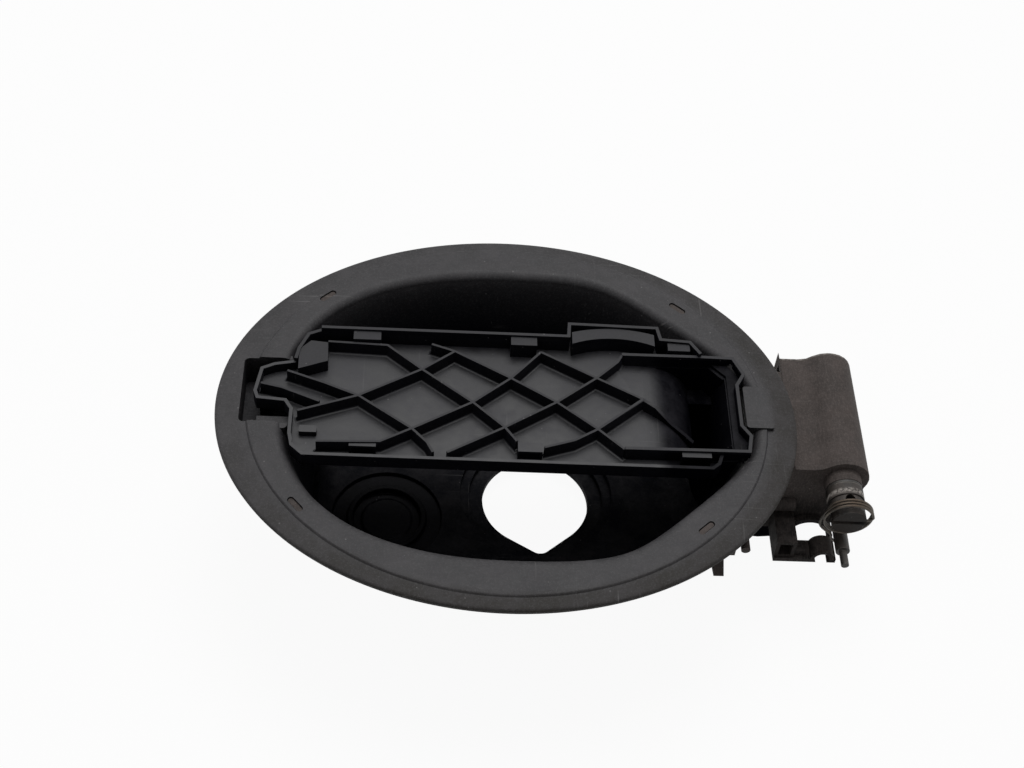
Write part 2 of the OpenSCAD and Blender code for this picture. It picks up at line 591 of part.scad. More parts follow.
// Gusset that carries the last lattice rib down into the trough
gusset_dir = -29.3;
gusset_t = 1.5;
module gusset() {
    function along(x, z) = [(x - trough_x0) / cos(gusset_dir), z];
    translate([trough_x0, lat(0.99, 0.517).y - 0.8, 0]) rotate([90, 0, gusset_dir])
        translate([0, 0, -gusset_t / 2]) linear_extrude(gusset_t) polygon(concat(
            [along(trough_x0 - 2, rib_top), along(trough_x0 + 4, 1.2), along(trough_x0 + 11, -4.5),
             along(trough_x0 + 17, -7.4), along(trough_x0 + 20.5, -9.6)],
            [for (a = [75 : -12.5 : 0]) let (p = bend(a, 1)) along(p.x, p.y)], [along(trough_x0 - 2, -floor_z - 1)]));
}
// Room for the lip of the opening, under the rim at the right: height from, height to, outline
module lip_room() {
    for (v = [[-12, -2.4, -0.7], [-2.5, -1, 0.2], [-1.1, 0.4, 1.2]])
        translate([0, 0, v[0]]) linear_extrude(v[1] - v[0]) difference() {
            translate([70, -60]) square([60, 120]);
            polygon(opening_outline(v[2]));
        }
}
base_z = -floor_z - floor_t + 0.2;
module tray_walls() {
    wall_run(far_rim, base_z, top_far, wall_t);
    wall_run(right_rim, -floor_z, top_rim, wall_t);
    wall_run(near_rim, base_z, 1, wall_t);
    wall_run(left_rim, base_z, 1, wall_t);
    wall_run(corner_rim, base_z, 3, wall_t);
}
module tray_floor() {
    translate([0, 0, -floor_z - floor_t]) linear_extrude(floor_t)
        polygon(concat(far_rim, near_rim, slice(left_rim, 1, 7), slice(corner_rim, 1, 2)));
}
// Shelf under the right rim, over the gooseneck's inner wall
module rim_shelf() {
    translate([0, 0, -floor_z]) linear_extrude(2.4)
        polygon(concat(slice(right_rim, 1, 7), [[rim_x - 3.2, trough_y0], [rim_x - 3.2, throat_y],
                                                [throat_x - throat_cut, trough_y1]]));
}
module scoop_arch() {
    mid = (scoop_x0 + scoop_x1) / 2;
    translate([0, 0, -floor_z - sink]) linear_extrude(floor_z + 4.2 + sink) intersection() {
        difference() {
            translate([mid, far_edge - 54.4]) circle(r = 60, $fn = 180);
            translate([mid, far_edge - 44.9]) circle(r = 45, $fn = 180);
        }
        translate([scoop_x0 + 1, far_edge - 6]) square([scoop_x1 - scoop_x0 - 2.4, 14]);
    }
}
module flap_carrier() {
    lug_x = nose_x0 + 1.5;
    color(hard_black) difference() {
        union() {
            difference() {
                union() {
                    tray_floor();
                    gooseneck();
                    rim_shelf();
                }
                gooseneck_cavity();
            }
            tray_walls();
            gusset();
            lattice_ribs(rib_t, rib_h);
            lattice_ribs(rib_t + rib_foot, 0.9);
            lattice_ribs(rib_t + 2 * rib_foot, 0.35);
            for (c = far_clips) clip_block(c[0], far_edge - clip_d / 2 - wall_t / 2, c[1], clip_d, 4);
            for (c = near_clips) clip_block(c[0], near_edge + 6.6, c[1], clip_d, 2);
            scoop_arch();
            translate([0, 0, -floor_z - sink]) linear_extrude(rib_h + sink) polygon([
                [tray_x0 + 1.3, far_edge - 10.8], [tray_x0 + 6, far_edge - 5.8], [tray_x0 + 13, far_edge - 6.6],
                [tray_x0 + 13.5, far_edge - 16.6], [tray_x0 + 1.5, far_edge - 21.4]]);
            block(tray_x0 + 2, tray_x0 + 11.2, near_edge + 6.4, near_edge + 14, -floor_z - sink, 1.6);
            along_x(lug_x, lug_x + 5) polygon([[lock_y - 6, -floor_z - 1], [lock_y - 5, -lock_z - 4],
                                               [lock_y + 5, -lock_z - 4], [lock_y + 6, -floor_z - 1]]);
        }
        for (c = far_clips) if (c[0] < trough_x0)
            clip_slot(c[0], far_edge - clip_d / 2 - wall_t / 2, c[1] - 3);
        for (c = near_clips) clip_slot(c[0], near_edge + 5, c[1] - 2);
        block(tray_x0 + 3.2, tray_x0 + 10, near_edge + 7.6, near_edge + 12.8, -floor_z + 0.5, 5);
        translate([lug_x - 1, lock_y, -lock_z]) rotate([0, 90, 0]) cylinder(r = 2.6, h = 8);
        along_y(near_y, far_y) translate(hinge) circle(axle_r + 0.02);
        lip_room();
    }
}
module clip_slot(x, y, w) {
    block(x - w / 2, x + w / 2, y - 1.5, y + 1.5, -floor_z - floor_t - 1, 0.8);
}

head_y = near_y - boss_l - bush_flange_t - 0.1;
shoulder_l = 6;
head_l = 9.5;
module hinge_axle() {
    end_y = head_y - shoulder_l - head_l;
    clip_y = far_y + 1.5 + bush_flange_t + 0.15;
    color(hard_black) difference() {
        union() {
            along_y(head_y, clip_y + 2.6) translate(hinge) circle(axle_r);
            along_y(head_y - shoulder_l, head_y) translate(hinge) circle(head_r + 0.6);
            along_y(end_y, head_y - shoulder_l + sink) translate(hinge) circle(head_r);
        }
        along_y(clip_y, clip_y + 1.1) translate(hinge) difference() {
            circle(axle_r + 2);
            circle(axle_r - 1);
        }
        translate([hinge_x, head_y - shoulder_l - 2.2, -hinge_z - 20]) cylinder(d = 4.2, h = 40);
        block(hinge_x - 20, hinge_x + 20, end_y - 1, end_y + 3.4, -hinge_z - 1, -hinge_z + 1);
    }
}
module axle_clip() {
    clip_y = far_y + 1.5 + bush_flange_t + 0.15;
    color(steel) along_y(clip_y + 0.1, clip_y + 1) translate(hinge) difference() {
        circle(axle_r + 2);
        circle(axle_r - 0.9);
        translate([-1.5, -20]) square([3, 20]);
    }
}

// Torsion spring: inner tang across the slot in the axle's head, coils, and an outer leg hooked on the peg
coil_y = head_y - shoulder_l - head_l + 1.7;
coil_turns = 2.4;
coil_steps = 58;
function on_coil(a, y) = [hinge_x + coil_r * cos(a), y, -hinge_z + coil_r * sin(a)];
coil_start = 0;
spring_path = concat(
    [[hinge_x - 4, coil_y, -hinge_z], [hinge_x + coil_r - 3, coil_y, -hinge_z]],
    [for (i = [0 : coil_steps]) let (a = coil_start + 12 + i * (coil_turns * 360 - 12) / coil_steps)
        on_coil(a, coil_y - wire_d * 0.2 + coil_pitch * (a - coil_start) / 360)],
    [let (y = coil_y + coil_turns * coil_pitch) [peg_x - coil_r - 0.6, y, peg_z + 9],
     [peg_x - peg_r - 1.6, coil_y + coil_turns * coil_pitch, peg_z + 1.5],
     [peg_x - peg_r - 0.7, coil_y + coil_turns * coil_pitch, peg_z - 1.6],
     [peg_x - 1.4, coil_y + coil_turns * coil_pitch, peg_z - peg_r - 1]]);
function unit(v) = v / norm(v);
wire_sides = 8;
function wire_ring(path, i) =
    let (a = path[max(0, i - 1)], b = path[min(len(path) - 1, i + 1)], t = unit(b - a),
         u = unit(cross(t, cross([0, 1, 0], t))), v = cross(t, u))
    [for (k = [0 : wire_sides - 1]) let (w = k * 360 / wire_sides)
        path[i] + wire_d / 2 * (u * cos(w) + v * sin(w))];
module torsion_spring() {
    n = len(spring_path);
    pts = concat([for (i = [0 : n - 1]) for (p = wire_ring(spring_path, i)) p],
                 [spring_path[0], spring_path[n - 1]]);
    color(steel) polyhedron(points = pts, faces = ring_faces(n, wire_sides), convexity = 10);
}

soft_pocket();
carrier_frame();
blanking_plug();
near_bush();
far_bush();
spring_peg();
line_bracket();
flap_carrier();
hinge_axle();
axle_clip();
torsion_spring();
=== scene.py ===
import json
import math
import bmesh
import bpy
import numpy as np
from mathutils import Matrix, Vector

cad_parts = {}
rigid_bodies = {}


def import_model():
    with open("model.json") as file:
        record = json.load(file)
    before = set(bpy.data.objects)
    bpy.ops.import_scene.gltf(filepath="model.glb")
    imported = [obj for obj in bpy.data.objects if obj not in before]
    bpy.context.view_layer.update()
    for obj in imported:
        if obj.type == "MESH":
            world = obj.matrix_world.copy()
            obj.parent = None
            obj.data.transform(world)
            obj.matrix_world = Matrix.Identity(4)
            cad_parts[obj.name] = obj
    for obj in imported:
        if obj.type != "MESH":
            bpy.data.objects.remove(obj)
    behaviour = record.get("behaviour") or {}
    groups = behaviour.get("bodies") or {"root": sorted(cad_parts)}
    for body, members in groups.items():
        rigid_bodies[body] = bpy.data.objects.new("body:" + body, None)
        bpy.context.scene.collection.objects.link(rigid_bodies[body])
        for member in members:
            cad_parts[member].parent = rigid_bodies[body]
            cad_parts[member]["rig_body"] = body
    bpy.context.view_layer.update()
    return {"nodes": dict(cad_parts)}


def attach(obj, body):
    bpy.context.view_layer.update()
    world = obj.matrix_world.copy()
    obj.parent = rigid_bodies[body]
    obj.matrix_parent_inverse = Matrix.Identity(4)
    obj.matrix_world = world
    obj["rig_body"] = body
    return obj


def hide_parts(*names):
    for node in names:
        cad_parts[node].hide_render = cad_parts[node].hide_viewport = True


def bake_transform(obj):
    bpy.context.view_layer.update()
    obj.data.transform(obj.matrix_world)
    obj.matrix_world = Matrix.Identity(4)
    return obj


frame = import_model()
nodes = frame["nodes"]
mm = 0.001  # lengths are in millimetres where no note says metres
print("frame loaded", flush=True)

# The camera stands where the photograph's did: 50 degrees up, a little to the left, rolled slightly
view = {"elevation": 50.0, "azimuth": -5.5, "roll": 6.3, "distance": 708.0, "aim": (1.4, 14.9, 0.0),
        "focalPixels": 1700.0, "imageWidth": 1024.0, "sensor": 36.0, "clipStart": 10.0}


# back points from the aim to the camera; right and up are square to it and turned by the roll
def cameraAxes(v):
    el, az, roll = (math.radians(v[k]) for k in ("elevation", "azimuth", "roll"))
    back = Vector((math.sin(az) * math.cos(el), -math.cos(az) * math.cos(el), math.sin(el)))
    right = (-back).cross(Vector((0, 0, 1))).normalized()
    up = right.cross(-back)
    turnedRight = math.cos(roll) * right + math.sin(roll) * up
    turnedUp = -math.sin(roll) * right + math.cos(roll) * up
    return turnedRight, turnedUp, back


def makeCamera():
    right, up, back = cameraAxes(view)
    data = bpy.data.cameras.new("photoCamera")
    data.sensor_width = view["sensor"]
    data.lens = view["focalPixels"] / view["imageWidth"] * view["sensor"]
    data.clip_start = view["clipStart"] * mm
    camera = bpy.data.objects.new("photoCamera", data)
    bpy.context.scene.collection.objects.link(camera)
    place = (back * view["distance"] + Vector(view["aim"])) * mm
    camera.matrix_world = Matrix(((right.x, up.x, back.x, place.x), (right.y, up.y, back.y, place.y),
                                  (right.z, up.z, back.z, place.z), (0, 0, 0, 1)))
    bpy.context.scene.camera = camera


makeCamera()


# Node helpers. A group has vector inputs, number inputs and number outputs
def group(name, vectors, numbers, outputs):
    tree = bpy.data.node_groups.new(name, "ShaderNodeTree")
    for label in vectors:
        tree.interface.new_socket(label, in_out="INPUT", socket_type="NodeSocketVector")
    for label in numbers:
        tree.interface.new_socket(label, in_out="INPUT", socket_type="NodeSocketFloat")
    for label in outputs:
        tree.interface.new_socket(label, in_out="OUTPUT", socket_type="NodeSocketFloat")
    return tree, tree.nodes.new("NodeGroupInput"), tree.nodes.new("NodeGroupOutput")


def add(tree, kind, **values):
    node = tree.nodes.new(kind)
    for key, value in values.items():
        node.inputs[key].default_value = value
    return node


def maths(tree, operation, a, b=None, clamp=False):
    node = tree.nodes.new("ShaderNodeMath")
    node.operation = operation
    node.use_clamp = clamp
    for i, value in enumerate((a, b)):
        if value is None:
            continue
        if isinstance(value, (int, float)):
            node.inputs[i].default_value = value
        else:
            tree.links.new(value, node.inputs[i])
    return node.outputs[0]


def plus(tree, a, b):
    return maths(tree, "ADD", a, b)


def times(tree, a, b):
    return maths(tree, "MULTIPLY", a, b)


# outLow up to low, outHigh from high on, and a straight ramp between them
def remap(tree, value, low, high, outLow=0.0, outHigh=1.0):
    node = tree.nodes.new("ShaderNodeMapRange")
    for i, number in enumerate((low, high, outLow, outHigh)):
        node.inputs[i + 1].default_value = number
    tree.links.new(value, node.inputs[0])
    return node.outputs[0]


# The whole value where the mask is 0, and the given least share of it where the mask is 1
def dimmed(tree, value, mask, least):
    return times(tree, value, remap(tree, mask, 0.0, 1.0, 1.0, least))


def axes(tree, vector):
    node = tree.nodes.new("ShaderNodeSeparateXYZ")
    tree.links.new(vector, node.inputs[0])
    return node.outputs[0], node.outputs[1], node.outputs[2]


def mixColour(tree, amount, a, b):
    node = tree.nodes.new("ShaderNodeMix")
    node.data_type = "RGBA"
    tree.links.new(amount, node.inputs[0])
    for i, value in ((6, a), (7, b)):  # the Mix node's colour sockets
        if isinstance(value, tuple):
            node.inputs[i].default_value = (*value, 1.0)
        else:
            tree.links.new(value, node.inputs[i])
    return node.outputs[2]


def noise(tree, vector, scale, detail, roughness):
    node = add(tree, "ShaderNodeTexNoise", Scale=scale, Detail=detail, Roughness=roughness)
    tree.links.new(vector, node.inputs["Vector"])
    return node.outputs["Fac"]


def stretched(tree, vector, scale, angle):
    node = add(tree, "ShaderNodeMapping", Scale=scale, Rotation=(0, 0, math.radians(angle)))
    tree.links.new(vector, node.inputs["Vector"])
    return node.outputs[0]


# A screen colour from 0 to 255, made linear
def linear(r, g, b):
    shares = [c / 255 for c in (r, g, b)]
    return tuple(c / 12.92 if c <= 0.04045 else ((c + 0.055) / 1.055) ** 2.4 for c in shares)


def tinted(tree, amount, colour, tone):
    return mixColour(tree, amount, colour, linear(*tone))


# Marks of moulded plastic in use. A noise is its scale (per metre), detail and roughness; a fade is the two
# levels between which a mark comes in; a rub is the stretch of its lines and their angle
wear = {"grain": (2300.0, 2.0, 0.6), "coarse": (900.0, 1.0, 0.5), "coarseShare": 0.6,
        "mottle": (45.0, 6.0, 0.62), "mottleShare": 0.6, "fine": (310.0, 4.0, 0.6), "fineShare": 0.4,
        "mottleFade": (0.36, 0.64), "upwardFade": (0.1, 0.9),
        "cloud": (75.0, 8.0, 0.7), "cloudFade": (0.42, 0.66),
        "rubs": (((14.0, 900.0, 200.0), 12.0), ((700.0, 16.0, 200.0), -24.0)), "rubLines": (1.0, 3.0, 0.5),
        "rubFade": (0.66, 0.74), "patch": (28.0, 2.0, 0.5), "patchFade": (0.5, 0.7),
        "speckScale": 330.0, "speckFade": (0.13, 0.05), "rare": (160.0, 1.0, 0.5), "rareFade": (0.6, 0.64)}


# Grain and mottle are sums of two noises, dust lies in clouds on what faces up, rubs are stretched lines in
# patches, and specks are the middles of a few cells
def buildMarks():
    tree, source, out = group("mouldedMarks", ("Vector", "Normal"), (),
                              ("grain", "mottle", "dust", "rub", "speck"))
    place, normal = source.outputs["Vector"], source.outputs["Normal"]

    def cloudy(key):
        return noise(tree, place, *wear[key])

    grain = plus(tree, cloudy("grain"), times(tree, cloudy("coarse"), wear["coarseShare"]))
    mottle = plus(tree, times(tree, cloudy("mottle"), wear["mottleShare"]),
                  times(tree, cloudy("fine"), wear["fineShare"]))
    upward = remap(tree, axes(tree, normal)[2], *wear["upwardFade"])
    dust = times(tree, upward, remap(tree, cloudy("cloud"), *wear["cloudFade"]))
    rubs = []
    for scale, angle in wear["rubs"]:
        lines = noise(tree, stretched(tree, place, scale, angle), *wear["rubLines"])
        rubs.append(remap(tree, lines, *wear["rubFade"]))
    patch = remap(tree, cloudy("patch"), *wear["patchFade"])
    cells = add(tree, "ShaderNodeTexVoronoi", Scale=wear["speckScale"], Randomness=1.0)
    tree.links.new(place, cells.inputs["Vector"])
    dots = remap(tree, cells.outputs["Distance"], *wear["speckFade"])
    speck = times(tree, dots, remap(tree, cloudy("rare"), *wear["rareFade"]))
    marks = {"grain": grain, "mottle": remap(tree, mottle, *wear["mottleFade"]), "dust": dust,
             "rub": times(tree, maths(tree, "MAXIMUM", *rubs), patch), "speck": speck}
    for label, value in marks.items():
        tree.links.new(value, out.inputs[label])
    return tree


# How far out a point lies: the root of (x / halfX) squared plus ((y - offsetY) / halfY) squared, which is 1
# on the oval with these half axes
def buildOval():
    tree, source, out = group("ovalReach", ("Vector",), ("halfX", "halfY", "offsetY"), ("reach",))
    x, y = axes(tree, source.outputs["Vector"])[:2]
    x = maths(tree, "DIVIDE", x, source.outputs["halfX"])
    y = maths(tree, "SUBTRACT", y, source.outputs["offsetY"])
    y = maths(tree, "DIVIDE", y, source.outputs["halfY"])
    total = plus(tree, times(tree, x, x), times(tree, y, y))
    tree.links.new(maths(tree, "SQRT", total), out.inputs["reach"])
    return tree


marksGroup = buildMarks()
ovalGroup = buildOval()


# What all looks share: fades as levels of the upward normal, of the oval's reach, of height or of a noise,
# and the noises of streaks and broken edges
fades = {"shine": (0.1, 0.75), "outer": (0.975, 1.02), "topRise": 0.6, "topFacing": (0.55, 0.85),
         "shadeWide": 6.0, "belowRim": (2.2, 1.2), "wornCore": 0.3,
         "streakStretch": (2400.0, 260.0, 260.0), "streakAngle": 4.0,
         "streakLines": (1.0, 4.0, 0.6), "streakFade": (0.45, 0.75),
         "broken": (620.0, 5.0, 0.7), "brokenFade": (0.42, 0.56), "fleckFade": (0.78, 1.05), "shadedFleck": 0.4,
         "dustRough": 0.12}


def startMaterial(name):
    mat = bpy.data.materials.new(name)
    mat.use_nodes = True
    tree = mat.node_tree
    shader = tree.nodes["Principled BSDF"]
    coords = tree.nodes.new("ShaderNodeTexCoord")
    marks = tree.nodes.new("ShaderNodeGroup")
    marks.node_tree = marksGroup
    tree.links.new(coords.outputs["Object"], marks.inputs["Vector"])
    tree.links.new(coords.outputs["Normal"], marks.inputs["Normal"])
    return mat, tree, shader, coords, marks


def finishMaterial(tree, shader, marks, colour, look):
    rough = plus(tree, times(tree, marks.outputs["mottle"], look["roughSpread"]), look["rough"])
    dusty = times(tree, marks.outputs["dust"], fades["dustRough"])
    tree.links.new(maths(tree, "ADD", rough, dusty, clamp=True), shader.inputs["Roughness"])
    tree.links.new(colour, shader.inputs["Base Color"])
    bump = add(tree, "ShaderNodeBump", Strength=look["bump"], Distance=look["bumpDepth"] * mm)
    tree.links.new(marks.outputs["grain"], bump.inputs["Height"])
    tree.links.new(bump.outputs[0], shader.inputs["Normal"])


# The flange's outer band: past the oval, and fainter towards the far left, which has kept the inner tone
def outerBand(tree, place, look):
    oval = tree.nodes.new("ShaderNodeGroup")
    oval.node_tree = ovalGroup
    tree.links.new(place, oval.inputs["Vector"])
    for key in ("halfX", "halfY", "offsetY"):
        oval.inputs[key].default_value = look[key] * mm
    x, y = axes(tree, place)[:2]
    toward = maths(tree, "SUBTRACT", times(tree, x, look["outerLean"]), y)
    kept = remap(tree, toward, look["outerFrom"] * mm, look["outerTo"] * mm, look["outerLeast"], 1.0)
    return times(tree, remap(tree, oval.outputs[0], *fades["outer"]), kept)


# A moulded plastic: black with a sheen, cut on its sides and in its depths as painted shade, then the marks
# that its look names
def plastic(name, look):
    mat, tree, shader, coords, marks = startMaterial(name)
    place = coords.outputs["Object"]
    x, y, z = axes(tree, place)
    facing = axes(tree, coords.outputs["Normal"])[2]
    mottle = marks.outputs["mottle"]
    colour = mixColour(tree, mottle, linear(*look["dark"]), linear(*look["light"]))
    # painted shade: the sheen falls from shine on what faces up to shadedSideShine on upright sides
    shine = remap(tree, facing, *fades["shine"], look["shadedSideShine"], look["shine"])
    if "outer" in look:
        band = outerBand(tree, place, look)
        outer = mixColour(tree, mottle, linear(*look["outer"]), linear(*look["outerLight"]))
        colour = mixColour(tree, band, colour, outer)
        shine = dimmed(tree, shine, band, look["outerShine"])
    if "deep" in look:  # painted shade: what lies deep is darker and duller, and so is what lies below the rim beyond shadeFromX
        # sunk is the share of painted shade at this depth
        sunk = remap(tree, z, look["deepFrom"] * mm, look["deepTo"] * mm)
        shine = dimmed(tree, shine, sunk, look["deepShine"])
        if "shadeFromX" in look:
            beyond = remap(tree, x, look["shadeFromX"] * mm, (look["shadeFromX"] + fades["shadeWide"]) * mm)
            below = remap(tree, z, *(level * mm for level in fades["belowRim"]))
            shade = times(tree, beyond, below)
            shine = dimmed(tree, shine, shade, look["deepShine"])
            sunk = maths(tree, "MAXIMUM", sunk, shade)
        colour = tinted(tree, sunk, colour, look["deep"])
    if "top" in look:  # painted highlight: tops above topFrom are paler, and duller in sheen
        high = remap(tree, z, look["topFrom"] * mm, (look["topFrom"] + fades["topRise"]) * mm)
        level = times(tree, high, remap(tree, facing, *fades["topFacing"]))
        colour = tinted(tree, times(tree, level, look["topHighlightAmount"]), colour, look["top"])
        shine = dimmed(tree, shine, high, look["topShine"])
    if "streak" in look:
        lines = noise(tree, stretched(tree, place, fades["streakStretch"], fades["streakAngle"]),
                      *fades["streakLines"])
        streak = times(tree, remap(tree, lines, *fades["streakFade"]), look["streak"])
        colour = tinted(tree, streak, colour, look["dust"])
    if "worn" in look:  # a broken pale band at one y
        away = maths(tree, "ABSOLUTE", maths(tree, "SUBTRACT", y, look["wornY"] * mm))
        edge = remap(tree, away, look["wornWide"] * mm, fades["wornCore"] * look["wornWide"] * mm)
        broken = remap(tree, noise(tree, place, *fades["broken"]), *fades["brokenFade"])
        colour = tinted(tree, times(tree, edge, broken), colour, look["worn"])
    if "grainHighlight" in look:  # painted highlight: the grain's high points catch light, less so in the painted shade of the depths
        fleck = times(tree, remap(tree, marks.outputs["grain"], *fades["fleckFade"]), look["grainHighlight"])
        if "deep" in look:
            fleck = dimmed(tree, fleck, sunk, fades["shadedFleck"])
        colour = tinted(tree, fleck, colour, look["dust"])
    for mark, tone in (("dust", "dust"), ("rub", "pale"), ("speck", "pale")):
        amount = times(tree, marks.outputs[mark], look[mark + "Amount"])
        colour = tinted(tree, amount, colour, look[tone])
    finishMaterial(tree, shader, marks, colour, look)
    tree.links.new(shine, shader.inputs["Specular IOR Level"])
    return mat


# Dull spring steel with brown stains
def steel(name, look):
    mat, tree, shader, coords, marks = startMaterial(name)
    colour = mixColour(tree, marks.outputs["mottle"], linear(*look["dark"]), linear(*look["light"]))
    stain = times(tree, marks.outputs["dust"], look["stainAmount"])
    colour = tinted(tree, stain, colour, look["stain"])
    shader.inputs["Metallic"].default_value = look["metallic"]
    finishMaterial(tree, shader, marks, colour, look)
    return mat


# In the looks below, deep and the paintedShade levels give painted shade in the depths, shadedSideShine the
# painted shade of the sheen on upright sides, and grainHighlight and top a painted highlight
softLook = {"dark": (26, 25, 27), "light": (38, 37, 39), "outer": (24, 22, 20), "outerLight": (36, 33, 30),
            "outerShine": 0.62, "outerLean": 0.7, "outerFrom": -90.0, "outerTo": 60.0, "outerLeast": 0.1,
            "halfX": 110.5, "halfY": 90.5, "offsetY": 1.8,
            "deep": (17, 18, 24), "deepFrom": -3.0, "deepTo": -30.0, "deepShine": 0.16, "grainHighlight": 0.3,
            "dust": (92, 90, 92), "dustAmount": 0.34, "pale": (150, 148, 148), "rubAmount": 0.3,
            "speckAmount": 0.4, "rough": 0.52, "roughSpread": 0.12, "shine": 0.36, "shadedSideShine": 0.16,
            "bump": 0.3, "bumpDepth": 0.1}
hardLook = {"dark": (9, 9, 13), "light": (15, 15, 20), "dust": (64, 63, 68), "dustAmount": 0.3,
            "top": (84, 83, 86), "topHighlightAmount": 0.04, "topFrom": 1.8, "topShine": 0.58,
            "deep": (5, 5, 9), "deepFrom": -4.4, "deepTo": -9.0, "deepShine": 0.15, "shadeFromX": 60.0,
            "pale": (150, 148, 148), "rubAmount": 0.14, "speckAmount": 0.35, "grainHighlight": 0.12,
            "rough": 0.44, "roughSpread": 0.07, "shine": 0.48, "shadedSideShine": 0.06,
            "bump": 0.2, "bumpDepth": 0.06}
dustyLook = {"dark": (46, 41, 39), "light": (58, 52, 49), "dust": (112, 103, 100), "dustAmount": 0.34,
             "grainHighlight": 0.35, "wornY": 48.2, "wornWide": 1.3, "worn": (158, 152, 146), "streak": 0.22,
             "pale": (150, 144, 138), "rubAmount": 0.25, "speckAmount": 0.45,
             "deep": (22, 20, 19), "deepFrom": -30.0, "deepTo": -42.0, "deepShine": 0.5,
             "rough": 0.66, "roughSpread": 0.14, "shine": 0.3, "shadedSideShine": 0.2,
             "bump": 0.45, "bumpDepth": 0.14}
bushLook = {"dark": (26, 25, 25), "light": (44, 42, 40), "dust": (110, 102, 94), "dustAmount": 0.45,
            "pale": (170, 164, 156), "rubAmount": 0.3, "speckAmount": 0.4,
            "rough": 0.42, "roughSpread": 0.15, "shine": 0.5, "shadedSideShine": 0.3,
            "bump": 0.2, "bumpDepth": 0.08}
axleLook = {"dark": (20, 18, 17), "light": (40, 36, 33), "dust": (104, 96, 90), "dustAmount": 0.5,
            "wornY": -23.4, "wornWide": 1.5, "worn": (170, 164, 158),
            "pale": (170, 164, 156), "rubAmount": 0.4, "speckAmount": 0.5,
            "rough": 0.5, "roughSpread": 0.15, "shine": 0.45, "shadedSideShine": 0.12,
            "bump": 0.6, "bumpDepth": 0.2}
steelLook = {"dark": (44, 41, 38), "light": (92, 86, 78), "stain": (84, 66, 50), "stainAmount": 0.5,
             "metallic": 0.75, "rough": 0.34, "roughSpread": 0.2, "bump": 0.2, "bumpDepth": 0.03}

softMaterial = plastic("softBlack", softLook)
hardMaterial = plastic("hardBlack", hardLook)
dustyMaterial = plastic("dustyPlastic", dustyLook)
bushMaterial = plastic("bushBlack", bushLook)
axleMaterial = plastic("axleBlack", axleLook)
steelMaterial = steel("springSteel", steelLook)
print("materials made", flush=True)


# Mesh helpers
def meshObject(name, verts, faces):
    mesh = bpy.data.meshes.new(name)
    mesh.from_pydata(np.asarray(verts).tolist(), [], faces)
    mesh.update()
    obj = bpy.data.objects.new(name, mesh)
    bpy.context.scene.collection.objects.link(obj)
    return obj


# A closed surface from equal rings of points: point i of ring j joins its neighbour i + 1 and the same two
# points of ring j + 1, and a cap closes the first and the last ring
def ringObject(name, rings):
    count, around = rings.shape[0], rings.shape[1]
    j, i = np.meshgrid(np.arange(count - 1) * around, np.arange(around), indexing="ij")
    nxt = (i + 1) % around
    quads = np.stack([j + i, j + nxt, j + around + nxt, j + around + i], axis=-1)
    caps = [np.arange(around)[::-1].tolist(), ((count - 1) * around + np.arange(around)).tolist()]
    return meshObject(name, rings.reshape(-1, 3) * mm, quads.reshape(-1, 4).tolist() + caps)


# An outline at two heights
def prism(name, outline, low, high):
    outline = np.asarray(outline, float)
    rings = np.stack([np.column_stack([outline, np.full(len(outline), z)]) for z in (low, high)])
    return ringObject(name, rings)


# The centre plus the radius times the cosine and sine of evenly spaced angles
def arc(cx, cy, radius, start, end, count):
    a = np.radians(np.linspace(start, end, count))
    return np.column_stack([cx + radius * np.cos(a), cy + radius * np.sin(a)])


discSides = 96
cornerSides = 7
edgeSegments = 2


def disc(centre, radius, low, high):
    return prism("disc", arc(*centre, radius, 0, 360 - 360 / discSides, discSides), low, high)


def box(name, x, y, z):
    return prism(name, [(x[0], y[0]), (x[1], y[0]), (x[1], y[1]), (x[0], y[1])], *z)


# A box whose upright edges are quarter arcs
def roundedBox(name, x, y, z, radius):
    corners = [(x[1] - radius, y[1] - radius, 0), (x[0] + radius, y[1] - radius, 90),
               (x[0] + radius, y[0] + radius, 180), (x[1] - radius, y[0] + radius, 270)]
    outline = np.concatenate([arc(cx, cy, radius, a, a + 90, cornerSides) for cx, cy, a in corners])
    return prism(name, outline, *z)


def applied(obj):
    graph = bpy.context.evaluated_depsgraph_get()
    mesh = bpy.data.meshes.new_from_object(obj.evaluated_get(graph))
    obj.modifiers.clear()
    obj.data = mesh


def combine(obj, others, operation):
    for other in others:
        mod = obj.modifiers.new("combine", "BOOLEAN")
        mod.operation = operation
        mod.solver = "EXACT"
        mod.object = other
        applied(obj)
        bpy.data.objects.remove(other)


def softEdges(obj, width, angle):
    mod = obj.modifiers.new("softEdges", "BEVEL")
    mod.width = width * mm
    mod.segments = edgeSegments
    mod.limit_method = "ANGLE"
    mod.angle_limit = math.radians(angle)
    applied(obj)


def smoothed(obj, material, angle):
    obj.data.materials.clear()
    obj.data.materials.append(material)
    obj.data.polygons.foreach_set("use_smooth", np.ones(len(obj.data.polygons), bool))
    obj.data.set_sharp_from_angle(angle=math.radians(angle))


# Large faces keep their own normal, so that narrow bevels and fillets round off beside them
def evenNormals(obj):
    mod = obj.modifiers.new("evenNormals", "WEIGHTED_NORMAL")
    mod.keep_sharp = True
    applied(obj)


# A CAD node's loose triangles are merged, and faces that lie within flatAngle of each other are joined
copying = {"mergeMetres": 2e-6, "flatAngle": 0.6, "sharpAngle": 32.0}


